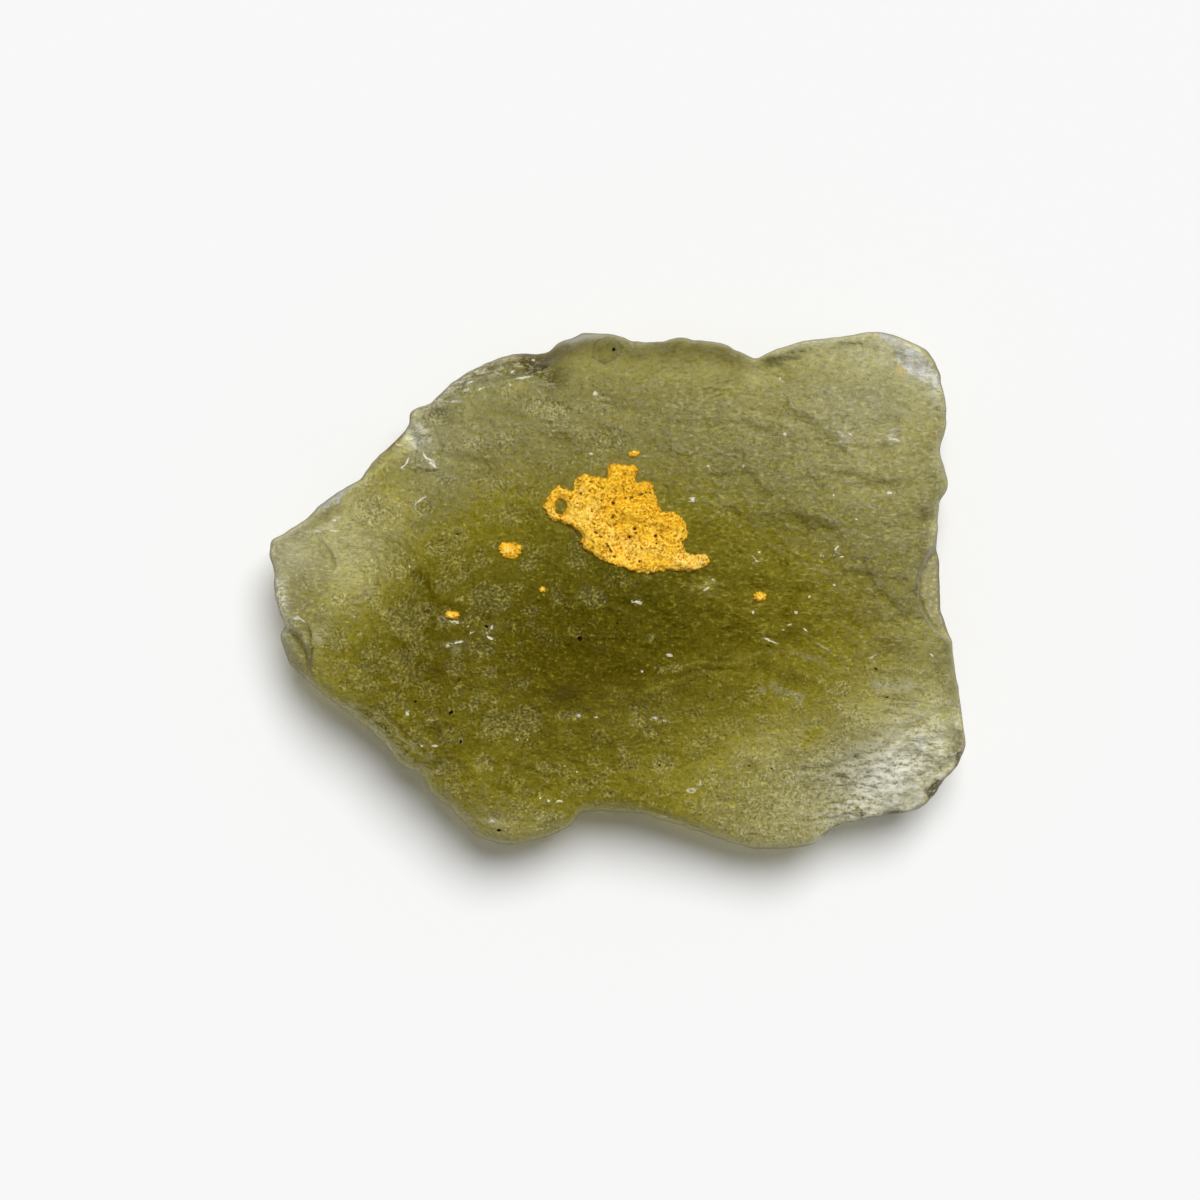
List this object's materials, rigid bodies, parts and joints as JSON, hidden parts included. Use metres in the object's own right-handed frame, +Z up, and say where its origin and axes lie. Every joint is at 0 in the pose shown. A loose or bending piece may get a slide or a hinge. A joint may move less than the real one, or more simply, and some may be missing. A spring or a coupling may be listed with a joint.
{
  "type": "raw moldavite",
  "caption": "Raw moldavite: a flat, etched piece of translucent olive green natural glass with ochre clay clinging to its upper face.",
  "frame": {"origin": "on the surface it lies on, under the middle of its bounding box", "axes": "+X along the stone from its blunt tip to its broad end, +Y across it, +Z up"},
  "size_m": [0.04, 0.0299, 0.0072],
  "materials": {
    "tektite_glass": "translucent olive green natural glass, etched matt, darker where it is thick",
    "ochre_clay": "dry grainy ochre clay with dark pores"
  },
  "bodies": {
    "root": {"moldavite": "tektite_glass", "clay_crust": "ochre_clay", "clay_fleck_left": "ochre_clay", "clay_fleck_above": "ochre_clay", "clay_fleck_lower_left": "ochre_clay", "clay_fleck_middle": "ochre_clay", "clay_fleck_right": "ochre_clay"}
  },
  "joints": []
}
